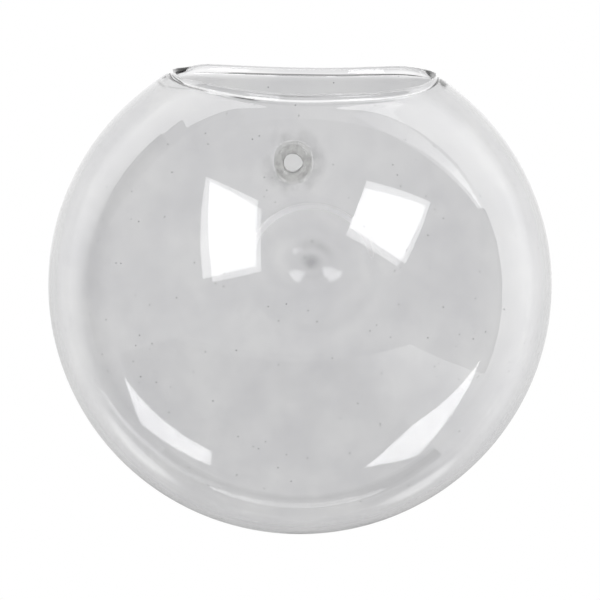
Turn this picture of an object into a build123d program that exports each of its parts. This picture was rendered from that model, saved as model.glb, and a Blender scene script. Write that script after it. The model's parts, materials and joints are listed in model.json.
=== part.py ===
from build123d import *
import os

# A clear glass wall vase: a blown bubble with a flat back, an open mouth at the top and one hanging hole.
# The origin is the middle of the hanging hole, on the plane of the wall.
# +Z is up and +Y points into the wall, so the round front of the bubble faces -Y. Sizes are in millimetres.

# The bubble is round about a level axis that runs from the wall to the front.
bubble_radius = 100.0  # half its width, seen from the front
back_depth = 26.0  # from the wall to the bubble's widest circle
front_depth = 70.0  # from the widest circle to the front of the dome
flat_radius = 64.0  # the flat disc that rests on the wall
glass_wall = 2.6  # thickness of the blown glass

# The hanging hole is pierced through the flat back, and glass is gathered into a ring round it.
hole_radius = 3.6
hole_height = 46.5  # above the bubble's axis
hole_offset = 2.8  # to the left of the bubble's axis, seen from the front
bore_length = 3.4  # straight wall of the hole, from the back face
eye_radius = 7.8  # outside of the ring
eye_thickness = 4.8  # wall side to the crest of the ring

# The mouth is cut along a shallow saddle, highest at its two ends, which leans down towards the front.
mouth_drop = 19.0  # middle of the lip below the top of the full bubble
saddle_radius = 450.0
mouth_lean = 2.2  # degrees
lip_radius = 2.1  # half the thickness of the rounded lip

# Planes and axes
wall_to_front = (0, -1, 0)
facing_right = (1, 0, 0)
facing_left = (-1, 0, 0)
bubble_middle = (hole_offset, 0, -hole_height)
bubble_axis = Axis(bubble_middle, wall_to_front)
hole_axis = Axis((0, 0, 0), wall_to_front)

# Profiles are drawn with depth from the wall along x and radius along y.
bubble_section = Plane(origin=bubble_middle, x_dir=wall_to_front, z_dir=facing_left)
hole_section = Plane(origin=(0, 0, 0), x_dir=wall_to_front, z_dir=facing_left)
mouth_height = bubble_radius - mouth_drop  # above the bubble's axis
mouth_middle = (hole_offset, -back_depth, mouth_height - hole_height)
mouth_section = Plane(origin=mouth_middle, x_dir=facing_right, z_dir=wall_to_front).rotated((mouth_lean, 0, 0))

# Lines that more than one profile shares
flat_edge = (back_depth, flat_radius)  # centre of the back's rounded edge
widest_centre = (back_depth, 0)
edge_height = bubble_radius - flat_radius
dome_front = back_depth + front_depth
half_wall = glass_wall / 2
quarter_turn = 90
to_widest = 90  # degrees, where an arc meets the widest circle

os.makedirs("parts", exist_ok=True)

# The saddle that opens the mouth: all glass inside this wide cylinder is taken away.
with BuildPart() as mouth_cutter:
    with BuildSketch(mouth_section):
        with Locations((0, saddle_radius)):
            Circle(saddle_radius)
    extrude(amount=2 * bubble_radius, both=True)

# The bubble up to the middle of its wall. Where the saddle cuts it is the line that the lip follows.
with BuildPart() as wall_middle:
    with BuildSketch(bubble_section):
        with BuildLine():
            Line((half_wall, 0), (half_wall, flat_radius))
            EllipticalCenterArc(
                flat_edge, back_depth - half_wall, edge_height - half_wall, to_widest, arc_size=quarter_turn
            )
            EllipticalCenterArc(
                widest_centre, front_depth - half_wall, bubble_radius - half_wall, 0, arc_size=quarter_turn
            )
            Line((dome_front - half_wall, 0), (half_wall, 0))
        make_face()
    revolve(axis=bubble_axis)
    add(mouth_cutter.part, mode=Mode.SUBTRACT)
lip_edges = wall_middle.faces().filter_by(GeomType.CYLINDER).sort_by(Axis.Z)[-1].outer_wire().edges()
right_lip_line = Wire(lip_edges.filter_by(lambda edge: edge.center().X > hole_offset))

# The lip: a round bead of fire-polished glass along that line, its right half and the mirror image
with BuildPart() as mouth_rim:
    with BuildSketch(Plane(origin=right_lip_line @ 0, z_dir=right_lip_line % 0)):
        Circle(lip_radius)
    sweep(path=right_lip_line)
    mirror(about=Plane.YZ.offset(hole_offset))
mouth_rim.part.label = "mouth_rim"

# The blown front half, from the widest circle forward, open at the mouth where the lip closes its edge
with BuildPart() as front_dome:
    with BuildSketch(bubble_section):
        with BuildLine():
            EllipticalCenterArc(widest_centre, front_depth, bubble_radius, 0, arc_size=quarter_turn)
            Line((back_depth, bubble_radius), (back_depth, bubble_radius - glass_wall))
            EllipticalCenterArc(
                widest_centre, front_depth - glass_wall, bubble_radius - glass_wall, 0, arc_size=quarter_turn
            )
            Line((dome_front - glass_wall, 0), (dome_front, 0))
        make_face()
    revolve(axis=bubble_axis)
    add(mouth_cutter.part, mode=Mode.SUBTRACT)
    add(mouth_rim.part, mode=Mode.SUBTRACT)
    add(front_dome.solids().sort_by(SortBy.VOLUME)[-1], mode=Mode.REPLACE)  # slivers beyond the lip fall away
front_dome.part.label = "front_dome"

# The back half: a flat disc against the wall and a wide rounded edge, with a seat for the hanging eye
with BuildPart() as flat_back:
    with BuildSketch(bubble_section):
        with BuildLine():
            Line((0, 0), (0, flat_radius))
            EllipticalCenterArc(flat_edge, back_depth, edge_height, to_widest, arc_size=quarter_turn)
            Line((back_depth, bubble_radius), (back_depth, bubble_radius - glass_wall))
            EllipticalCenterArc(
                flat_edge, back_depth - glass_wall, edge_height - glass_wall, to_widest, arc_size=quarter_turn
            )
            Line((glass_wall, flat_radius), (glass_wall, 0))
            Line((glass_wall, 0), (0, 0))
        make_face()
    revolve(axis=bubble_axis)
    add(mouth_cutter.part, mode=Mode.SUBTRACT)
    add(mouth_rim.part, mode=Mode.SUBTRACT)
    with BuildSketch(Plane.XZ):
        Circle(eye_radius)
    extrude(amount=back_depth, mode=Mode.SUBTRACT)
    add(flat_back.solids().sort_by(SortBy.VOLUME)[-1], mode=Mode.REPLACE)
flat_back.part.label = "flat_back"

# The hanging eye: a ring flush with the back, whose rounded crest stands into the bubble
with BuildPart() as hanging_eye:
    with BuildSketch(hole_section):
        with BuildLine():
            Line((0, hole_radius), (0, eye_radius))
            Line((0, eye_radius), (glass_wall, eye_radius))
            ThreePointArc(
                (glass_wall, eye_radius),
                (eye_thickness, (hole_radius + eye_radius) / 2),
                (bore_length, hole_radius),
            )
            Line((bore_length, hole_radius), (0, hole_radius))
        make_face()
    revolve(axis=hole_axis)
hanging_eye.part.label = "hanging_eye"

for piece in (front_dome, flat_back, mouth_rim, hanging_eye):
    export_step(piece.part, f"parts/{piece.part.label}.step")
    print(piece.part.label, round(piece.part.volume), "cubic mm,", len(piece.solids()), "solid")
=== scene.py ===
# %% [markdown]
# A hanging wall vase of clear blown glass: a round bubble with a flat back, a wide open mouth with a thick
# fire-polished lip, and one pierced hole in the back that hangs it on a nail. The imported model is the
# frame: it gives the sizes and the place of everything, and the glass that is modelled here stands in for
# its solids.

# %% Load the frame
import json
import math

import bpy
import numpy as np
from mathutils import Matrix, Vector


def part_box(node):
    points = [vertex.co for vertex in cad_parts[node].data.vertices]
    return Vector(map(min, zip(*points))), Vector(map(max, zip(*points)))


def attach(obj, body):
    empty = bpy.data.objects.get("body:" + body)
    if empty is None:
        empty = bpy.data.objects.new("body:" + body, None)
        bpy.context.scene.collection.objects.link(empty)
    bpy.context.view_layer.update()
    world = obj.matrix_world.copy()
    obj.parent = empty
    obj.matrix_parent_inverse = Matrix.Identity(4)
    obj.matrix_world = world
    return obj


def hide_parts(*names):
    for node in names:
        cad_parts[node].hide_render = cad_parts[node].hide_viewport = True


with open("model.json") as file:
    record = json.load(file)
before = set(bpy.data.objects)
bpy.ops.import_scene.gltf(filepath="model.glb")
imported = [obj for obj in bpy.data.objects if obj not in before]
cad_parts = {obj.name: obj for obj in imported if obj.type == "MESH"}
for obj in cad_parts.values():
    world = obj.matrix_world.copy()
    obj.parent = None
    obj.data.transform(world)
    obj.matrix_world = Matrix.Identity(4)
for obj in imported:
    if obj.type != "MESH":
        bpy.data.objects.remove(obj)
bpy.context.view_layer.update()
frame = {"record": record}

bpy.ops.object.select_all(action="DESELECT")

# %% [markdown]
# The bubble is round about a level axis that runs from the wall to the front, so a few lengths describe
# it. Those that the frame shows are read from it, and the others are set here, in metres. Depth is
# measured from the wall.

# %% Sizes of the bubble
MM = 0.001
dome_low, dome_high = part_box("front_dome")
bubble_radius = (dome_high.x - dome_low.x) / 2
bubble_x = (dome_low.x + dome_high.x) / 2
bubble_z = dome_low.z + bubble_radius
back_depth = -dome_high.y
front_depth = -dome_low.y - back_depth
flat_radius = 64 * MM
glass_wall = 2.6 * MM
bubble_depth = back_depth + front_depth
print("bubble", round(2 * bubble_radius / MM, 1), "mm across,", round(bubble_depth / MM, 1), "deep")

# %% [markdown]
# The photograph looks at the front of the vase from a little above, through a long lens. The camera aims
# at a point just under the middle of the widest circle. With a sensor of 36 mm, the lens sets how much of
# the vase's surroundings the square picture takes in. Blender takes both of these in millimetres.

# %% Camera
view_height = math.radians(11)
view_distance = 1.5
aim_drop = 5.6 * MM
sensor_width = 36
lens_length = 226.3
aim = Vector((bubble_x, -back_depth, bubble_z - aim_drop))
towards_camera = Vector((0, -math.cos(view_height), math.sin(view_height)))
bpy.ops.object.camera_add(location=aim + view_distance * towards_camera)
camera = bpy.context.object
camera.name = "camera"
camera.rotation_euler = (-towards_camera).to_track_quat("-Z", "Y").to_euler()
camera.data.sensor_width = sensor_width
camera.data.lens = lens_length
bpy.context.scene.camera = camera
print("camera at", [round(v, 3) for v in camera.location])

# %% [markdown]
# The outside of the bubble could be turned on a lathe, but then its rows of faces would run across the
# mouth and cut the lip to steps. Here the rows run round an upright axis instead, level with the lip, and
# rays from the middle of the bubble find its outside: a half ellipse in front, a quarter ellipse round the
# back edge, and the flat back.

# %% Outside of the bubble
HALVINGS = 40
middle = np.array([bubble_x, -bubble_depth / 2, bubble_z])


def across_and_depth(points):
    return np.hypot(points[..., 0] - bubble_x, points[..., 2] - bubble_z), -points[..., 1]


def inside_bubble(points):
    across, depth = across_and_depth(points)
    edge_part = np.clip(across - flat_radius, 0, None) / (bubble_radius - flat_radius)
    in_back = edge_part ** 2 + ((back_depth - depth) / back_depth) ** 2 < 1
    in_front = (across / bubble_radius) ** 2 + ((depth - back_depth) / front_depth) ** 2 < 1
    return np.where(depth < back_depth, in_back & (depth > 0), in_front)


def outer_skin(polar, azimuth):
    level = np.sin(polar)
    ray = np.stack([level * np.cos(azimuth), level * np.sin(azimuth), np.cos(polar)], axis=-1)
    near = np.zeros(polar.shape)
    far = np.full(polar.shape, 2 * bubble_radius)
    for halving in range(HALVINGS):
        halfway = (near + far) / 2
        inside = inside_bubble(middle + halfway[..., None] * ray)
        near = np.where(inside, halfway, near)
        far = np.where(inside, far, halfway)
    return middle + near[..., None] * ray


# %% [markdown]
# The wall has two faces, so each point of the outside also needs the direction that points straight out of
# it. The middle of the wall lies half a thickness inwards.

# %% Middle of the wall


def outward(points):
    across, depth = across_and_depth(points)
    back_slope = np.clip(across - flat_radius, 0, None) / (bubble_radius - flat_radius) ** 2
    sideways = np.where(depth < back_depth, back_slope, across / bubble_radius ** 2)
    half_depth = np.where(depth < back_depth, back_depth, front_depth)
    wallwards = (back_depth - depth) / half_depth ** 2
    share = sideways / np.maximum(across, MM)
    normal = np.stack(
        [share * (points[..., 0] - bubble_x), wallwards, share * (points[..., 2] - bubble_z)], axis=-1
    )
    return normal / np.linalg.norm(normal, axis=-1, keepdims=True)


def mid_wall(polar, azimuth):
    skin = outer_skin(polar, azimuth)
    normal = outward(skin)
    return skin - glass_wall / 2 * normal, normal


# %% [markdown]
# The mouth was cut along a shallow saddle, highest at its two ends, that leans down towards the front. The
# cut was done by eye: its lowest place is a little to the right, and its right end opens wider. On each
# upright line of the glass, halving steps find where the middle of the wall meets that saddle: this is the
# lip.

# %% Lip line
SEGMENTS = 256
mouth_drop = 18.5 * MM
saddle_radius = 460 * MM
saddle_shift = 9 * MM
mouth_lean = math.tan(math.radians(2.1))
right_end = (12 * MM, 52 * MM)
right_lean = math.tan(math.radians(2.6))
mouth_z = bubble_z + bubble_radius - mouth_drop
side_crowding = 0.25
azimuths = np.arange(SEGMENTS) * 2 * math.pi / SEGMENTS
azimuths = azimuths - side_crowding * np.sin(2 * azimuths)


def smooth_step(value, start, end):
    share = np.clip((value - start) / (end - start), 0, 1)
    return share * share * (3 - 2 * share)


def above_saddle(points):
    sideways = points[..., 0] - bubble_x
    saddle = saddle_radius - np.sqrt(saddle_radius ** 2 - (sideways - saddle_shift) ** 2)
    lean = mouth_lean + right_lean * smooth_step(sideways, *right_end)
    return points[..., 2] - mouth_z - saddle - lean * (points[..., 1] + back_depth) > 0


upper = np.zeros(SEGMENTS)
lower = np.full(SEGMENTS, math.pi / 2)
for halving in range(HALVINGS):
    lip_polar = (upper + lower) / 2
    above = above_saddle(mid_wall(lip_polar, azimuths)[0])
    upper = np.where(above, lip_polar, upper)
    lower = np.where(above, lower, lip_polar)
lip_line, lip_out = mid_wall(lip_polar, azimuths)
along_lip = np.roll(lip_line, -1, axis=0) - np.roll(lip_line, 1, axis=0)
along_lip /= np.linalg.norm(along_lip, axis=1, keepdims=True)
lip_up = np.cross(lip_out, along_lip)
lip_up *= np.sign(lip_up[:, 2:])
print("lip", np.round(lip_line.min(axis=0) / MM, 1), "to", np.round(lip_line.max(axis=0) / MM, 1), "mm")

# %% [markdown]
# Blown glass is never quite even. Slow waves bend the reflections a little, and the front is thinnest
# where it was blown out farthest, which doubles the edges of what it mirrors. Bump in a material could
# bend the reflections too, but only real waves change the outline and stay in the mesh.

# %% Waves and thin front
wave_draws = np.random.default_rng(11)
wave_count = 9
wave_lengths = (55 * MM, 120 * MM)
front_thinning = 1.0 * MM
front_reach = 75 * MM


def slow_waves(points, height):
    total = np.zeros(points.shape[:-1])
    for wave in range(wave_count):
        direction = wave_draws.normal(size=3)
        direction /= np.linalg.norm(direction)
        length = wave_draws.uniform(*wave_lengths)
        total += np.sin(points @ direction * 2 * math.pi / length + wave_draws.uniform(0, 2 * math.pi))
    return height * total / math.sqrt(wave_count)


def front_relief(points):
    across, depth = across_and_depth(points)
    share = np.clip(1 - (across / front_reach) ** 2, 0, None) ** 2
    return np.where(depth > back_depth, -front_thinning * share, 0)


# %% [markdown]
# The back is thickest in its middle. Where it was pressed flat it kept a round mark, with a small hollow
# near its middle that mirrors both lamps. The hollow is a shallow bowl: its slope grows from the middle
# and is eased away at its edge, and adding up the slope from the edge inwards gives its depth.

# %% Press mark and hollow
back_reach = (5 * MM, 12 * MM)
thick_rise = 1.3 * MM
thick_reach = (8 * MM, 54 * MM)
mark_x = bubble_x + 4.4 * MM
mark_z = bubble_z + 3.9 * MM
mark_radius = 25.6 * MM
mark_edge = (mark_radius - 1.5 * MM, mark_radius + 1.5 * MM)
mark_rise = 0.8 * MM
hollow_x = bubble_x + 6.0 * MM
hollow_z = bubble_z + 6.0 * MM
hollow_curve = 26 * MM
hollow_edge = (11 * MM, 14.5 * MM)
hollow_squash = 1.3
bowl_steps = 200
bowl_reach = np.linspace(0, hollow_edge[1], bowl_steps)
bowl_slope = bowl_reach / hollow_curve * (1 - smooth_step(bowl_reach, *hollow_edge))
bowl = np.cumsum(bowl_slope[::-1])[::-1] * bowl_reach[1]


def back_relief(points):
    at_back = 1 - smooth_step(-points[..., 1], *back_reach)
    from_mark = np.hypot(points[..., 0] - mark_x, points[..., 2] - mark_z)
    from_hollow = np.hypot(points[..., 0] - hollow_x, hollow_squash * (points[..., 2] - hollow_z))
    rise = thick_rise * (1 - smooth_step(from_mark, *thick_reach))
    rise += mark_rise * (1 - smooth_step(from_mark, *mark_edge))
    return at_back * (rise - np.interp(from_hollow, bowl_reach, bowl))


print("hollow", round(bowl[0] / MM, 2), "mm deep")

# %% [markdown]
# The lip is a thick bead on a thin wall, with a thinner neck just under it. At the two ends of the mouth
# the fold of the lip was pressed flatter, so the bead eases into the wall there, more on the left than on
# the right. This function gives the thickness on one side of the wall's middle, at any distance below the
# lip. A small fillet rounds the corner between bead and wall.

# %% Bead and wall
lip_bulge = 1.8 * MM
lip_height = 1.7 * MM
lip_shift = 1.3 * MM
lip_reach = (lip_height, lip_height + 5 * MM)
bead_fillet = 0.3 * MM
neck_thinning = 0.55 * MM
neck_reach = 6 * MM
left_fold = (36 * MM, 48 * MM)
right_fold = (38 * MM, 52 * MM)
right_fold_share = 0.6
end_ease = 0.7
lip_aside = lip_line[:, 0] - bubble_x
at_end = smooth_step(-lip_aside, *left_fold) + right_fold_share * smooth_step(lip_aside, *right_fold)


def half_glass(below_lip, shift):
    at_lip = 1 - smooth_step(below_lip, *lip_reach)
    bead = lip_bulge * np.sqrt(np.clip(1 - (below_lip / lip_height) ** 2, 0, None)) + shift * at_lip
    bead *= 1 - end_ease * at_end
    wall = glass_wall / 2 - neck_thinning * (1 - at_end) * np.exp(-below_lip / neck_reach)
    fillet = np.hypot(bead - wall, bead_fillet)
    fillet -= at_lip * bead_fillet * np.clip(below_lip / lip_height, 0, 1)
    return (bead + wall + fillet) / 2


# %% [markdown]
# The two faces of the wall are rows of points from the lip down to the lowest point of the bubble. The
# rows crowd towards the lip, where the bead narrows to the wall within a few millimetres. The waves calm
# down towards the lip, and on the outside also towards the flat back, which has to rest on the wall.

# %% Rows of the two faces
WALL_ROWS = 164
fine_step = 0.05
crowded_rows = (28, 54)
calm_reach = 15 * MM
outer_wave = 0.03 * MM
inner_wave = 0.04 * MM
flat_reach = (1.5 * MM, 15 * MM)
step_size = fine_step + (1 - fine_step) * smooth_step(np.arange(WALL_ROWS), *crowded_rows)
row_share = np.concatenate([[0], np.cumsum(step_size) / step_size.sum()])
polar = lip_polar + (math.pi - lip_polar) * row_share[:, None]
wall_middle, wall_out = mid_wall(polar, np.broadcast_to(azimuths, polar.shape))
below_lip = np.linalg.norm(wall_middle - lip_line, axis=-1)
away_from_lip = smooth_step(below_lip, 0, calm_reach)
off_the_wall = smooth_step(-wall_middle[..., 1], *flat_reach)
outer_uneven = np.abs(slow_waves(wall_middle, outer_wave) * off_the_wall)
outer_half = half_glass(below_lip, lip_shift) - away_from_lip * outer_uneven
inner_uneven = slow_waves(wall_middle, inner_wave) + front_relief(wall_middle) + back_relief(wall_middle)
inner_half = half_glass(below_lip, -lip_shift) + away_from_lip * inner_uneven
outer_rows = wall_middle + outer_half[..., None] * wall_out
inner_rows = wall_middle - inner_half[..., None] * wall_out
print("glass", round(float((outer_half + inner_half).min() / MM), 2), "mm thick where it is thinnest")

# %% [markdown]
# A half turn over the top joins the outside to the inside. It is a half ellipse across the lip, as thick
# as the bead and as high as a fire-polished edge rises.

# %% Rows of the lip
LIP_ROWS = 16
on_lip = np.zeros(SEGMENTS)
outer_lip = half_glass(on_lip, lip_shift)[:, None]
inner_lip = half_glass(on_lip, -lip_shift)[:, None]
round_lip = np.arange(1, LIP_ROWS)[:, None, None] * math.pi / LIP_ROWS
lip_middle = lip_line + (outer_lip - inner_lip) / 2 * lip_out
lip_half = (outer_lip + inner_lip) / 2
lip_top = (lip_height + (glass_wall / 2 - lip_height) * at_end)[:, None]
lip_rows = lip_middle + lip_half * np.cos(round_lip) * lip_out + lip_top * np.sin(round_lip) * lip_up
print("bead", round(float(2 * lip_half.max() / MM), 1), "mm thick")

# %% [markdown]
# The glass is one unbroken skin: up the outside, over the lip and down the inside. A UV sphere is such a
# skin. Its lower rows of faces become the outside, a few rows in the middle make the round lip, and its
# upper rows are tucked in, like a sock, and become the inside. So the lip has no seam, and light meets
# only real surfaces.

# %% Body of glass
row_count = 2 * WALL_ROWS + LIP_ROWS
rows = np.concatenate([outer_rows[::-1], lip_rows, inner_rows])
bpy.ops.mesh.primitive_uv_sphere_add(segments=SEGMENTS, ring_count=row_count, radius=1)
vase = bpy.context.object
vase.name = "glass_vase"
places = np.zeros(3 * len(vase.data.vertices), np.float32)
vase.data.vertices.foreach_get("co", places)
places = places.reshape(-1, 3).astype(float)
row = np.round(np.arccos(np.clip(-places[:, 2], -1, 1)) / math.pi * row_count).astype(int)
segment = np.round(np.arctan2(places[:, 1], places[:, 0]) / (2 * math.pi) * SEGMENTS).astype(int) % SEGMENTS
vase.data.vertices.foreach_set("co", rows[row, segment].astype(np.float32).ravel())
vase.data.update()
print("body", len(vase.data.vertices), "points,", len(vase.data.polygons), "faces")

# %% [markdown]
# The lip was folded inwards before it was polished. Fine dark lines of painted shade run along the lip: a
# long one under the bead at the back, a short one on the crest of the front, and two on the outside of the
# front, left of its middle. At the left end a painted grey line of shade drops away from the lip. Lines
# this fine would need far more faces as shape, so an attribute on the points keeps their places for the
# material.

# %% Painted dark lines of the lip
back_shade_line = (-25 * MM, 45 * MM)
front_shade_line = (-5 * MM, 4 * MM)
shade_line_taper = 9 * MM
short_taper = shade_line_taper / 2
shade_line_depth = 0.05 * MM
shade_line_width = 0.5 * MM
side_shade_lines = ((-47 * MM, -36 * MM), (-22 * MM, -17 * MM))
side_depth = 2.2 * MM
side_width = 0.4 * MM
left_end_shade_span = (-60 * MM, -42 * MM)
left_end_shade_drop = 4.5 * MM
left_end_shade_grey = 0.5
first_inner = WALL_ROWS + LIP_ROWS
end_outer = WALL_ROWS + 1
crest_row = WALL_ROWS + LIP_ROWS // 2


def between(value, ends, taper):
    return smooth_step(value, ends[0] - taper, ends[0]) * (1 - smooth_step(value, ends[1], ends[1] + taper))


at_back = lip_line[:, 1] > -back_depth
# Painted shade: dark lines along the lip and a grey line at its left end, kept on the points.
painted_lip_shade = np.zeros(rows.shape[:2])
across_shade_line = np.exp(-((below_lip - shade_line_depth) / shade_line_width) ** 2)
painted_lip_shade[first_inner:] = across_shade_line * at_back * between(lip_aside, back_shade_line, shade_line_taper)
across_shade_line = np.exp(-((below_lip - side_depth) / side_width) ** 2)[::-1]
for ends in side_shade_lines:
    painted_lip_shade[:end_outer] += across_shade_line * ~at_back * between(lip_aside, ends, short_taper)
left_end_shade_depth = side_depth + left_end_shade_drop * smooth_step(-lip_aside, *left_fold)
across_left_end_shade = np.exp(-((below_lip - left_end_shade_depth) / side_width) ** 2)[::-1]
painted_lip_shade[:end_outer] += left_end_shade_grey * across_left_end_shade * ~at_back * between(lip_aside, left_end_shade_span, short_taper)
painted_lip_shade[crest_row - 1:crest_row + 1] = ~at_back * between(lip_aside, front_shade_line, short_taper)
painted_lip_shade_mark = vase.data.attributes.new("painted_lip_shade", "FLOAT", "POINT")
painted_lip_shade_mark.data.foreach_set("value", painted_lip_shade[row, segment].astype(np.float32))
print("painted_lip_shade", round((back_shade_line[1] - back_shade_line[0]) / MM), "mm long at the back")

# %% [markdown]
# Round the hanging hole the hot glass was gathered into a squarish ring that stands into the bubble with a
# steep foot. The faces there are cut finer first, on the inside only, and then their points are raised to
# that ring.

# %% Ring round the hanging hole
hole_mount = next(mount for mount in frame["record"]["mounts"] if mount["name"] == "hanging_hole")
hole_radius = hole_mount["dims"]["r_mm"] * MM
ring_rise = 2.2 * MM
ring_crest = 0.62
ring_half = (7.6 * MM, 8.3 * MM)
ring_squareness = 2.6
ring_cuts = 4
fine_reach = 10 * MM
fine_depths = (glass_wall / 2, 3 * glass_wall)


def ring_share(place):
    across = abs(place[0] / ring_half[0]) ** ring_squareness
    upright = abs(place[2] / ring_half[1]) ** ring_squareness
    return (across + upright) ** (1 / ring_squareness)


def on_inside_of_back(place):
    return fine_depths[0] < -place[1] < fine_depths[1] and math.hypot(place[0], place[2]) < fine_reach


bpy.ops.object.mode_set(mode="EDIT")
bpy.ops.mesh.select_all(action="DESELECT")
bpy.ops.object.mode_set(mode="OBJECT")
for face in vase.data.polygons:
    face.select = on_inside_of_back(face.center)
bpy.ops.object.mode_set(mode="EDIT")
bpy.ops.mesh.subdivide(number_cuts=ring_cuts)
bpy.ops.object.mode_set(mode="OBJECT")
for point in vase.data.vertices:
    if on_inside_of_back(point.co):
        down_the_flank = min(max((ring_share(point.co) - ring_crest) / (1 - ring_crest), 0), 1)
        point.co.y -= ring_rise * math.sqrt(1 - down_the_flank ** 2)
print("ring", round((glass_wall + ring_rise) / MM, 1), "mm thick at its crest")

# %% [markdown]
# The hole was pierced while the glass was soft, so its two edges are rounded and it is nearer to a diamond
# than to a circle. A cutter with a waist, wide at both ends, gives such edges. Its outline is a list of
# depths and radii, with an arc for each rounded edge. It starts as a disc and is extruded and scaled, step
# by step, along that outline.

# %% Cutter for the hanging hole
back_round = 0.5 * MM
crest_depth = glass_wall + ring_rise
crest_round = (1.3 * MM, 1.5 * MM)
cutter_flare = 4.4 * MM
cutter_spare = 1.2 * MM
cutter_sides = 96
round_steps = 6
back_turn = (15, 90)
crest_turn = (0, 70)
outline = [(-cutter_spare, hole_radius + cutter_flare)]
for turn in np.radians(np.linspace(*back_turn, round_steps)):
    outline.append((back_round * (1 - math.cos(turn)), hole_radius + back_round * (1 - math.sin(turn))))
for turn in np.radians(np.linspace(*crest_turn, round_steps)):
    depth = crest_depth - crest_round[1] * (1 - math.sin(turn))
    outline.append((depth, hole_radius + crest_round[0] * (1 - math.cos(turn))))
outline.append((crest_depth + cutter_spare, hole_radius + cutter_flare))
first_depth, first_radius = outline[0]

bpy.ops.object.select_all(action="DESELECT")
bpy.ops.mesh.primitive_circle_add(
    vertices=cutter_sides,
    radius=first_radius,
    fill_type="NGON",
    location=(0, -first_depth, 0),
    rotation=(math.pi / 2, 0, 0),
)
cutter = bpy.context.object
cutter.name = "hole_cutter"
bpy.ops.object.transform_apply(location=True, rotation=True, scale=True)
bpy.ops.object.mode_set(mode="EDIT")
bpy.ops.mesh.select_all(action="SELECT")
for (depth, radius), (next_depth, next_radius) in zip(outline, outline[1:]):
    bpy.ops.mesh.extrude_region_move(TRANSFORM_OT_translate={"value": (0, depth - next_depth, 0)})
    bpy.ops.transform.resize(
        value=(next_radius / radius, 1, next_radius / radius), center_override=(0, -next_depth, 0)
    )
bpy.ops.mesh.select_all(action="SELECT")
bpy.ops.mesh.normals_make_consistent(inside=False)
bpy.ops.object.mode_set(mode="OBJECT")
print("cutter", len(outline), "rings, waist", round(2 * hole_radius / MM, 1), "mm across")

# %% [markdown]
# The cutter is still round. Its radius is now scaled by a few values round the clock, in degrees from the
# right, which give the hole its uneven edge. A Boolean modifier then takes the cutter out of the glass.

# %% Hanging hole
hole_edge = {0: 1.07, 45: 0.93, 90: 0.96, 135: 1.04, 180: 1.02, 225: 1.03, 257: 1.0, 310: 0.89}
for point in cutter.data.vertices:
    around = math.degrees(math.atan2(point.co.z, point.co.x))
    uneven = float(np.interp(around, list(hole_edge), list(hole_edge.values()), period=360))
    point.co.x *= uneven
    point.co.z *= uneven

bpy.ops.object.select_all(action="DESELECT")
vase.select_set(True)
bpy.context.view_layer.objects.active = vase
pierce = vase.modifiers.new("pierce", "BOOLEAN")
pierce.operation = "DIFFERENCE"
pierce.solver = "EXACT"
pierce.object = cutter
bpy.ops.object.modifier_apply(modifier=pierce.name)
bpy.data.objects.remove(cutter)
bpy.ops.object.mode_set(mode="EDIT")
bpy.ops.mesh.select_all(action="SELECT")
bpy.ops.mesh.normals_make_consistent(inside=False)
bpy.ops.object.mode_set(mode="OBJECT")
bpy.ops.object.shade_smooth()
vase.data.calc_loop_triangles()
print("vase", len(vase.data.loop_triangles), "triangles")

# %% [markdown]
# Each material is a small graph of nodes. One helper turns a colour as written in hex to the linear values
# that Blender works in, one adds a node, sets its values and links its inputs, and one starts an empty
# graph.

# %% Helpers for materials


def colour(code):
    parts = [int(code[i:i + 2], 16) / 255 for i in (1, 3, 5)]
    linear = [c / 12.92 if c <= 0.04045 else ((c + 0.055) / 1.055) ** 2.4 for c in parts]
    return (*linear, 1)


def add_node(tree, kind, values=None, links=None, **settings):
    made = tree.nodes.new(kind)
    for name, value in settings.items():
        setattr(made, name, value)
    for socket, value in (values or {}).items():
        made.inputs[socket].default_value = value
    for socket, source in (links or {}).items():
        tree.links.new(source, made.inputs[socket])
    return made


def new_tree(owner):
    owner.use_nodes = True
    owner.node_tree.nodes.clear()
    return owner.node_tree


# %% [markdown]
# Clear soda-lime glass, blown and fire-polished, is almost colourless. A thin uneven film and a few seeds,
# the tiny gas bubbles that stay in such glass, keep it from looking perfect, and cords of slightly other
# glass make its surface roll. The film's patches are partly painted light and shade: they stand for the
# uneven light that the glass throws on the wall behind it.

# %% Film, seeds and cords of the glass
glass = bpy.data.materials.new("blown_soda_lime_glass")
tree = new_tree(glass)
# The film's pale and grey patches are partly painted light and shade.
film_and_shade_size = 24 * MM
film_and_shade_stops = ((0.35, "#f6f6f7"), (0.65, "#fefefe"))
seed_spacing = 7 * MM
seed_radius = (0.2 * MM, 0.36 * MM)
cord_width = 24 * MM
cord_height = 0.05 * MM
place = add_node(tree, "ShaderNodeTexCoord").outputs["Object"]
cloud = add_node(
    tree,
    "ShaderNodeTexNoise",
    {"Scale": 1 / film_and_shade_size, "Detail": 4.0, "Roughness": 0.55},
    {"Vector": place},
)
film_and_patchy_shade = add_node(tree, "ShaderNodeValToRGB", links={"Fac": cloud.outputs["Fac"]})
for stop, (position, code) in zip(film_and_patchy_shade.color_ramp.elements, film_and_shade_stops):
    stop.position = position
    stop.color = colour(code)
seeds = add_node(tree, "ShaderNodeTexVoronoi", {"Scale": 1 / seed_spacing}, {"Vector": place})
speck_ends = [radius / seed_spacing for radius in seed_radius]
speck = add_node(
    tree,
    "ShaderNodeMapRange",
    {"From Min": speck_ends[0], "From Max": speck_ends[1], "To Min": 1.0, "To Max": 0.0},
    {"Value": seeds.outputs["Distance"]},
    interpolation_type="SMOOTHSTEP",
)
cords = add_node(tree, "ShaderNodeTexNoise", {"Scale": 1 / cord_width, "Detail": 1.0}, {"Vector": place})
rolling = add_node(
    tree, "ShaderNodeBump", {"Strength": 1.0, "Distance": cord_height}, {"Height": cords.outputs["Fac"]}
)
print("seeds about", round(2 * seed_radius[0] / MM, 1), "mm across")
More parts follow.
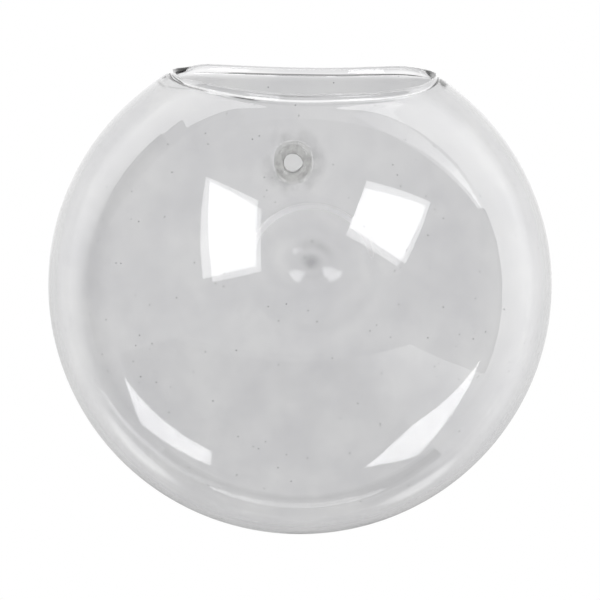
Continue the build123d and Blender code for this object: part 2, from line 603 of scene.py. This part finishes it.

# %% [markdown]
# Round the hanging hole the glass was worked with a tool, and it is thicker there. Painted shade makes
# the ring mottled and a little grey, darkest at the edge of the hole, and a painted shadow runs out from
# the ring into the back. A painted dark spot lies over the hollow, and faint ripples of painted light and
# shade run round the mark. Each of these places is found by its distance from a point: 1 up to the first
# distance, 0 from the second on.

# %% Places round the hole and the mark
hole_middle = (0, -crest_depth / 2, 0)
mark_middle = (mark_x, 0, mark_z)
# Middle of a painted dark spot of shade over the hollow.
shade_spot_middle = (bubble_x + 5.2 * MM, 0, bubble_z + 8 * MM)
# Zones of painted shade: a shadow past the ring's foot, grey on the ring and a dark edge to the hole.
reaches = {
    "ring": (hole_middle, 7.2 * MM, 7.8 * MM),
    "foot": (hole_middle, 8.0 * MM, 8.5 * MM),
    "painted_shadow": (hole_middle, 8 * MM, 15 * MM),
    "hole_edge_shade": (hole_middle, 3.9 * MM, 4.9 * MM),
    "shade_spot": (shade_spot_middle, 0.5 * MM, 10.5 * MM),
    "ripple_shade": (mark_middle, 22 * MM, 33 * MM),
}
zones = {}
for name, (centre, start, end) in reaches.items():
    distance = add_node(tree, "ShaderNodeVectorMath", {1: centre}, {0: place}, operation="DISTANCE")
    zone = add_node(
        tree,
        "ShaderNodeMapRange",
        {"From Min": start, "From Max": end, "To Min": 1.0, "To Max": 0.0},
        {"Value": distance.outputs["Value"]},
        interpolation_type="SMOOTHSTEP",
    )
    zones[name] = zone.outputs[0]
print("places", ", ".join(zones))

# %% [markdown]
# The painted shadow beyond the foot of the ring and the painted mottled shade on the ring are patchy,
# which two noises of their own grain give. The painted ripples of light and shade are rings of a wave
# round the middle of the mark. At scale 1 the wave node repeats every 2 pi / 20 metres, so that length
# over the ripples' spacing is its scale.

# %% Patches and ripples
painted_shadow_grain = 10 * MM
mottled_shade_grain = 2.6 * MM
patch_ends = (0.4, 0.65)
ripple_spacing = 11 * MM
WAVE_PERIOD = 2 * math.pi / 20
patches = {}
for name, grain in (("painted_shadow", painted_shadow_grain), ("mottled_shade", mottled_shade_grain)):
    noise = add_node(tree, "ShaderNodeTexNoise", {"Scale": 1 / grain, "Detail": 3.0}, {"Vector": place})
    patch = add_node(
        tree,
        "ShaderNodeMapRange",
        {"From Min": patch_ends[0], "From Max": patch_ends[1]},
        {"Value": noise.outputs["Fac"]},
    )
    patches[name] = patch.outputs[0]
past_foot = add_node(tree, "ShaderNodeMath", {0: 1.0}, {1: zones["foot"]}, operation="SUBTRACT")
beyond = add_node(
    tree, "ShaderNodeMath", links={0: zones["painted_shadow"], 1: past_foot.outputs[0]}, operation="MULTIPLY"
)
# The ripples are painted light and shade, rings round the middle of the mark.
from_middle = add_node(tree, "ShaderNodeVectorMath", {1: mark_middle}, {0: place}, operation="SUBTRACT")
ripple_shade = add_node(
    tree,
    "ShaderNodeTexWave",
    {"Scale": WAVE_PERIOD / ripple_spacing, "Distortion": 9.0, "Detail": 2.0},
    {"Vector": from_middle.outputs[0]},
    wave_type="RINGS",
    rings_direction="Y",
)
painted_shadow, mottled_shade, painted_ripple_shade = (
    add_node(tree, "ShaderNodeMath", links={0: where, 1: pattern}, operation="MULTIPLY").outputs[0]
    for where, pattern in (
        (beyond.outputs[0], patches["painted_shadow"]),
        (zones["ring"], patches["mottled_shade"]),
        (zones["ripple_shade"], ripple_shade.outputs["Fac"]),
    )
)
print("ripples every", round(ripple_spacing / MM), "mm")

# %% [markdown]
# The tint starts as the film's colour, and each place in turn is mixed towards its own darker colour. Only
# the seeds are the glass's own colour; the other mixes are painted light and shade. The painted dark lines
# of the lip come last, read from the attribute that was put on the points.

# %% Tint of the glass and its painted shade
# The painted shade lines of the lip are read back from the points.
lip_shade_lines = add_node(tree, "ShaderNodeAttribute", attribute_name="painted_lip_shade")
tint = film_and_patchy_shade.outputs["Color"]
for share, darker in (
    (speck.outputs[0], "#6a6c6e"),
    # painted shade round the hanging hole: its shadow, the ring's grey and mottle, the hole's dark edge
    (painted_shadow, "#c8c8c9"),
    (zones["ring"], "#dededc"),
    (mottled_shade, "#b4b4b2"),
    (zones["hole_edge_shade"], "#5a5a5a"),
    # painted dark spot of shade over the hollow
    (zones["shade_spot"], "#bcbcbe"),
    # painted ripples of light and shade round the mark
    (painted_ripple_shade, "#f6f6f7"),
    # painted dark lines of shade along the lip
    (lip_shade_lines.outputs["Fac"], "#060606"),
):
    mixed = add_node(
        tree, "ShaderNodeMix", {"B": colour(darker)}, {"Factor": share, "A": tint}, data_type="RGBA"
    )
    tint = mixed.outputs["Result"]
print("tint", len(tree.nodes), "nodes so far")

# %% [markdown]
# The press left its mark and the hollow a little dull. The ring of the mark is dull in its upper part and
# nearly clear in its lower part, so its dullness follows the height. The worked ring round the hole is
# dull all over. Where two of these meet, the duller one counts.

# %% Dull places
dull_ring_width = 2.6 * MM
dull_ring = 0.34
dull_hollow = 0.1
dull_eye = 0.2
dull_heights = (mark_z - 14 * MM, mark_z + 10 * MM)
left_clear = 0.25
from_mark, from_hollow = (
    add_node(tree, "ShaderNodeVectorMath", {1: centre}, {0: place}, operation="DISTANCE").outputs["Value"]
    for centre in (mark_middle, (hollow_x, 0, hollow_z))
)
off_ring = add_node(tree, "ShaderNodeMath", {1: mark_radius}, {0: from_mark}, operation="SUBTRACT")
off_ring = add_node(tree, "ShaderNodeMath", links={0: off_ring.outputs[0]}, operation="ABSOLUTE")
ring_band = add_node(
    tree,
    "ShaderNodeMapRange",
    {"From Min": 0.0, "From Max": dull_ring_width, "To Min": dull_ring, "To Max": 0.0},
    {"Value": off_ring.outputs[0]},
    interpolation_type="SMOOTHSTEP",
)
height = add_node(tree, "ShaderNodeSeparateXYZ", links={0: place}).outputs["Z"]
kept = add_node(
    tree,
    "ShaderNodeMapRange",
    {"From Min": dull_heights[0], "From Max": dull_heights[1], "To Min": left_clear, "To Max": 1.0},
    {"Value": height},
)
dullness = add_node(
    tree, "ShaderNodeMath", links={0: ring_band.outputs[0], 1: kept.outputs[0]}, operation="MULTIPLY"
)
hollow_dull = add_node(
    tree,
    "ShaderNodeMapRange",
    {"From Min": hollow_edge[0], "From Max": hollow_edge[1], "To Min": dull_hollow, "To Max": 0.0},
    {"Value": from_hollow},
)
eye_dull = add_node(tree, "ShaderNodeMath", {1: dull_eye}, {0: zones["ring"]}, operation="MULTIPLY")
for other in (hollow_dull, eye_dull):
    dullness = add_node(
        tree, "ShaderNodeMath", links={0: dullness.outputs[0], 1: other.outputs[0]}, operation="MAXIMUM"
    )
print("dull ring", round(2 * mark_radius / MM, 1), "mm across")

# %% [markdown]
# Light from the lamps has to reach the wall behind the vase, so shadow rays and the light that the wall
# scatters go straight through the glass. It is dimmed a little where it meets the glass head on, and much
# more where it grazes it, as real glass turns such light away: this gives the shadow of the vase its dark
# rim.

# %% Blown soda-lime glass
head_on = "#f8f8f9"
grazed = "#404041"
part_grazed = {0.45: "#f2f2f3", 0.75: "#cfcfd0"}
path = add_node(tree, "ShaderNodeLightPath")
clear = add_node(
    tree,
    "ShaderNodeBsdfPrincipled",
    {"IOR": 1.5, "Transmission Weight": 1.0},
    {"Base Color": tint, "Roughness": dullness.outputs[0], "Normal": rolling.outputs[0]},
)
grazing = add_node(tree, "ShaderNodeLayerWeight", {"Blend": 0.5})
dimmed = add_node(tree, "ShaderNodeValToRGB", links={"Fac": grazing.outputs["Facing"]})
dimmed.color_ramp.elements[0].color = colour(head_on)
dimmed.color_ramp.elements[1].color = colour(grazed)
for position, code in part_grazed.items():
    dimmed.color_ramp.elements.new(position).color = colour(code)
straight = add_node(tree, "ShaderNodeBsdfTransparent", links={"Color": dimmed.outputs["Color"]})
seen = clear
for ray in ("Is Shadow Ray", "Is Diffuse Ray"):
    seen = add_node(
        tree,
        "ShaderNodeMixShader",
        links={0: path.outputs[ray], 1: seen.outputs[0], 2: straight.outputs[0]},
    )
add_node(tree, "ShaderNodeOutputMaterial", links={"Surface": seen.outputs[0]})
vase.data.materials.append(glass)
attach(vase, "root")
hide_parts("front_dome", "flat_back", "mouth_rim", "hanging_eye")
print("glass", len(tree.nodes), "nodes")

# %% [markdown]
# Wall, floor, cards and lamps are all flat sheets. Each is a plane whose four corners are moved to their
# places, given in millimetres from the middle of the flat back: to the right, outwards (negative) and up.

# %% Helper for sheets
back_middle = Vector((bubble_x, 0, bubble_z))


def add_sheet(name, corners, material):
    bpy.ops.mesh.primitive_plane_add(size=1)
    sheet = bpy.context.object
    sheet.name = name
    for point, corner in zip(sheet.data.vertices, corners):
        point.co = back_middle + MM * Vector(corner)
    sheet.data.materials.append(material)
    return sheet


# %% [markdown]
# The vase hangs on a plain white wall over a pale floor, and more white paper closes the room above it and
# on its right. Glass shows little but its surroundings, so the light on that paper matters more than the
# glass. Its graph starts with places on the wall, as seen from the vase: the distance from it, the
# distance to the side, how steeply up or down, and how far along a slanted line to the upper right.

# %% Places on the wall
paper = bpy.data.materials.new("matt_white_paper")
tree = new_tree(paper)
slope_spread = 60 * MM
slant = Vector((1, 0, 0.9))
place = add_node(tree, "ShaderNodeTexCoord").outputs["Object"]
height = add_node(tree, "ShaderNodeSeparateXYZ", links={0: place}).outputs["Z"]
from_back = add_node(tree, "ShaderNodeVectorMath", {1: back_middle}, {0: place}, operation="SUBTRACT")
spread = add_node(tree, "ShaderNodeSeparateXYZ", links={0: from_back.outputs[0]}).outputs
aside = add_node(tree, "ShaderNodeMath", links={0: spread["X"]}, operation="ABSOLUTE").outputs[0]
wide = add_node(tree, "ShaderNodeMath", {1: slope_spread}, {0: aside}, operation="ADD").outputs[0]
slope = add_node(tree, "ShaderNodeMath", links={0: spread["Z"], 1: wide}, operation="DIVIDE").outputs[0]
away, along = (
    add_node(tree, "ShaderNodeVectorMath", {1: other}, {0: place}, operation=operation).outputs["Value"]
    for other, operation in ((back_middle, "DISTANCE"), (slant, "DOT_PRODUCT"))
)
print("places on the wall", len(tree.nodes), "nodes")

# %% [markdown]
# The rounded edge of the vase mirrors the wall on all sides. That light is weak close to the vase, grows
# until 250 mm away from it, fades downwards and to the left, and is strongest on the right. Each of these
# is a share that rises smoothly from its least value to 1, and their product scales the light. Two small
# pools of light, such as a glass vase throws on the wall under it, are added.

# %% Light of the mirrored wall
mirrored_glow = 5.1
least_glow = 0.52
left_wall = (slant.dot(back_middle) - 800 * MM, slant.dot(back_middle) - 50 * MM)
wall_fades = (
    (away, (105 * MM, 250 * MM), 0.33),  # close to the vase
    (slope, (-1.9, 0.9), 0.08),  # downwards
    (along, left_wall, 0.25),  # to the lower left
    (spread["X"], (100 * MM, 250 * MM), 0.77),  # left of the right part
)
pools = (((-160, 0, -180), (25, 62)), ((110, 0, -200), (20, 54)))
pool_glow = 1.3
shares = [
    add_node(
        tree,
        "ShaderNodeMapRange",
        {"From Min": start, "From Max": end, "To Min": least, "To Max": 1.0},
        {"Value": value},
        interpolation_type="SMOOTHSTEP",
    ).outputs[0]
    for value, (start, end), least in wall_fades
]
light = add_node(tree, "ShaderNodeMath", {1: mirrored_glow}, {0: shares[0]}, operation="MULTIPLY")
for share in shares[1:]:
    light = add_node(tree, "ShaderNodeMath", links={0: share, 1: light.outputs[0]}, operation="MULTIPLY")
light = add_node(tree, "ShaderNodeMath", {1: least_glow}, {0: light.outputs[0]}, operation="MAXIMUM")
for pool_middle, (start, end) in pools:
    centre = back_middle + MM * Vector(pool_middle)
    distance = add_node(tree, "ShaderNodeVectorMath", {1: centre}, {0: place}, operation="DISTANCE")
    pool = add_node(
        tree,
        "ShaderNodeMapRange",
        {"From Min": start * MM, "From Max": end * MM, "To Min": pool_glow, "To Max": 0.0},
        {"Value": distance.outputs["Value"]},
        interpolation_type="SMOOTHSTEP",
    )
    light = add_node(
        tree, "ShaderNodeMath", links={0: light.outputs[0], 1: pool.outputs[0]}, operation="ADD"
    )
mirrored = add_node(
    tree, "ShaderNodeEmission", {"Color": colour("#ffffff")}, {"Strength": light.outputs[0]}
)
print("mirrored wall", len(wall_fades), "fades and", len(pools), "pools")

# %% [markdown]
# Through the glass the paper glows a pale grey, painted shade for the vase's shadow on it, and keeps some
# of its own real shading and of the vase's real shadow. Only behind the lip it glows white, painted light,
# so that the bead stands out with bright lines.

# %% Paper seen through the glass
# The grey glow is painted shade, the white glow behind the lip painted light.
through_share = 0.85
through_glow = 0.625
lip_heights = (bubble_z + 78.4 * MM, bubble_z + 85 * MM)
lip_width = (60 * MM, 51 * MM)
high_enough, near_enough = (
    add_node(
        tree,
        "ShaderNodeMapRange",
        {"From Min": start, "From Max": end},
        {"Value": value},
        interpolation_type="SMOOTHSTEP",
    )
    for value, (start, end) in ((height, lip_heights), (aside, lip_width))
)
behind_lip = add_node(
    tree,
    "ShaderNodeMath",
    links={0: high_enough.outputs[0], 1: near_enough.outputs[0]},
    operation="MULTIPLY",
)
over_lip, lip_glow = (
    add_node(tree, "ShaderNodeMapRange", {"To Min": least}, {"Value": behind_lip.outputs[0]})
    for least in (through_share, through_glow)
)
matt = add_node(tree, "ShaderNodeBsdfDiffuse", {"Color": colour("#f3f3f4")})
lit = add_node(tree, "ShaderNodeEmission", {"Color": colour("#ffffff")}, {"Strength": lip_glow.outputs[0]})
through = add_node(
    tree, "ShaderNodeMixShader", links={0: over_lip.outputs[0], 1: matt.outputs[0], 2: lit.outputs[0]}
)
print("white behind the lip, from", round((lip_heights[1] - bubble_z) / MM), "mm above the bubble's axis")

# %% [markdown]
# The camera sees plain white paper. Which of these looks counts is the light path's choice: what the glass
# mirrors, what shows through it, or what the camera sees past it. The paper shows only from its front, so
# that the vase can be looked at from behind.

# %% Matt white paper
path = add_node(tree, "ShaderNodeLightPath")
side = add_node(tree, "ShaderNodeNewGeometry")
white = add_node(tree, "ShaderNodeEmission", {"Color": colour("#ffffff"), "Strength": 1.0})
nothing = add_node(tree, "ShaderNodeBsdfTransparent")
seen = matt
for chosen, look in (
    (path.outputs["Is Glossy Ray"], mirrored),
    (path.outputs["Is Transmission Ray"], through),
    (path.outputs["Is Camera Ray"], white),
    (side.outputs["Backfacing"], nothing),
):
    seen = add_node(tree, "ShaderNodeMixShader", links={0: chosen, 1: seen.outputs[0], 2: look.outputs[0]})
add_node(tree, "ShaderNodeOutputMaterial", links={"Surface": seen.outputs[0]})
paper_corners = {
    "wall": ((-2000, 0.4, -900), (2000, 0.4, -900), (-2000, 0.4, 2000), (2000, 0.4, 2000)),
    "floor": ((-2000, -2000, -900), (1560, -2000, -900), (-2000, 0, -900), (1560, 0, -900)),
    "ceiling": ((-800, 0, 1050), (1500, 0, 1050), (-800, -200, 1050), (1500, -200, 1050)),
    "right_side": ((1500, 0, -900), (1500, -190, -900), (1500, 0, 1050), (1500, -190, 1050)),
}
for name, corners in paper_corners.items():
    add_sheet(name, corners, paper)
print("paper", len(tree.nodes), "nodes on", len(paper_corners), "sheets")

# %% [markdown]
# Studio photographers stand cards round glass, because their mirror images draw the edges where the glass
# turns away from the camera. Here a grey card on the left darkens towards the wall, a black one lies
# below, and a bright one hangs above and grows brighter to the right. Each has two glows, which blend
# across the width of its sheet.

# %% Cards
card_glows = {"left_card": (0.9, 0.3), "low_card": (0.1, 0.02), "high_card": (1.3, 5.0)}
card_corners = {
    "left_card": ((-900, -280, -900), (-900, 0, -900), (-900, -280, 900), (-900, 0, 900)),
    "low_card": ((-300, -68, -400), (300, -68, -400), (-300, 0, -400), (300, 0, -400)),
    "high_card": ((-350, -200, 1050), (3000, -200, 1050), (-350, -450, 1050), (3000, -450, 1050)),
}
for name, (first_glow, last_glow) in card_glows.items():
    paint = bpy.data.materials.new(name + "_paint")
    tree = new_tree(paint)
    over_card = add_node(tree, "ShaderNodeTexCoord").outputs["UV"]
    across_card = add_node(tree, "ShaderNodeSeparateXYZ", links={0: over_card}).outputs["X"]
    shade = add_node(
        tree,
        "ShaderNodeMapRange",
        {"To Min": first_glow, "To Max": last_glow},
        {"Value": across_card},
        interpolation_type="SMOOTHSTEP",
    )
    painted = add_node(
        tree, "ShaderNodeEmission", {"Color": colour("#ffffff")}, {"Strength": shade.outputs[0]}
    )
    add_node(tree, "ShaderNodeOutputMaterial", links={"Surface": painted.outputs[0]})
    card = add_sheet(name, card_corners[name], paint)
    card.visible_camera = False
    card.visible_diffuse = False
    card.visible_shadow = False
    print(name, [round(length, 2) for length in card.dimensions], "m")

# %% [markdown]
# Two softboxes light the vase from the front, one on each side and above. Their mirror images are the two
# white panes on the dome, the two crescents on the rounded edge of the back, and the two spots in the
# hollow. Their cloth is a little dimmer along its edges.

# %% Softboxes
softbox_glow = 6.5
edge_glow = 0.85 * softbox_glow
edge_share = 0.08
half_way = 0.5
softbox_corners = {
    "left_softbox": ((-360, -596, 29), (-166, -671, 87), (-358, -434, 414), (-160, -590, 338)),
    "right_softbox": ((189, -642, 236), (393, -570, 86), (259, -514, 408), (489, -394, 304)),
}
cloth = bpy.data.materials.new("softbox_cloth")
tree = new_tree(cloth)
over_cloth = add_node(tree, "ShaderNodeTexCoord").outputs["UV"]
across_cloth = add_node(tree, "ShaderNodeSeparateXYZ", links={0: over_cloth})
from_sides, from_ends = (
    add_node(tree, "ShaderNodeMath", {1: half_way}, {0: across_cloth.outputs[axis]}, operation="PINGPONG")
    for axis in ("X", "Y")
)
from_edge = add_node(
    tree, "ShaderNodeMath", links={0: from_sides.outputs[0], 1: from_ends.outputs[0]}, operation="MINIMUM"
)
glow = add_node(
    tree,
    "ShaderNodeMapRange",
    {"From Min": 0.0, "From Max": edge_share, "To Min": edge_glow, "To Max": softbox_glow},
    {"Value": from_edge.outputs[0]},
    interpolation_type="SMOOTHSTEP",
)
shine = add_node(tree, "ShaderNodeEmission", {"Color": colour("#ffffff")}, {"Strength": glow.outputs[0]})
add_node(tree, "ShaderNodeOutputMaterial", links={"Surface": shine.outputs[0]})
for name, corners in softbox_corners.items():
    softbox = add_sheet(name, corners, cloth)
    softbox.visible_camera = False
    print(name, [round(length, 2) for length in softbox.dimensions], "m")

# %% [markdown]
# The room is white where the camera looks past the vase. It gives the wall soft light from all sides,
# shows a little dimmer in the mirror of the glass, and dimmer still where the glass bends it: this draws
# the dark lines of the lip.

# %% Room
bent_level = 0.75
levels = {"Is Diffuse Ray": 0.45, "Is Glossy Ray": 0.9, "Is Camera Ray": 1.0}
world = bpy.data.worlds.new("studio")
bpy.context.scene.world = world
tree = new_tree(world)
path = add_node(tree, "ShaderNodeLightPath")
room = add_node(tree, "ShaderNodeBackground", {"Color": colour("#ffffff"), "Strength": bent_level})
for ray, level in levels.items():
    lit = add_node(tree, "ShaderNodeBackground", {"Color": colour("#ffffff"), "Strength": level})
    room = add_node(
        tree, "ShaderNodeMixShader", links={0: path.outputs[ray], 1: room.outputs[0], 2: lit.outputs[0]}
    )
add_node(tree, "ShaderNodeOutputWorld", links={"Surface": room.outputs[0]})
print("room", levels)

# %% [markdown]
# The picture keeps its colours as they are written.

# %% Finish
bpy.context.scene.view_settings.view_transform = "Standard"
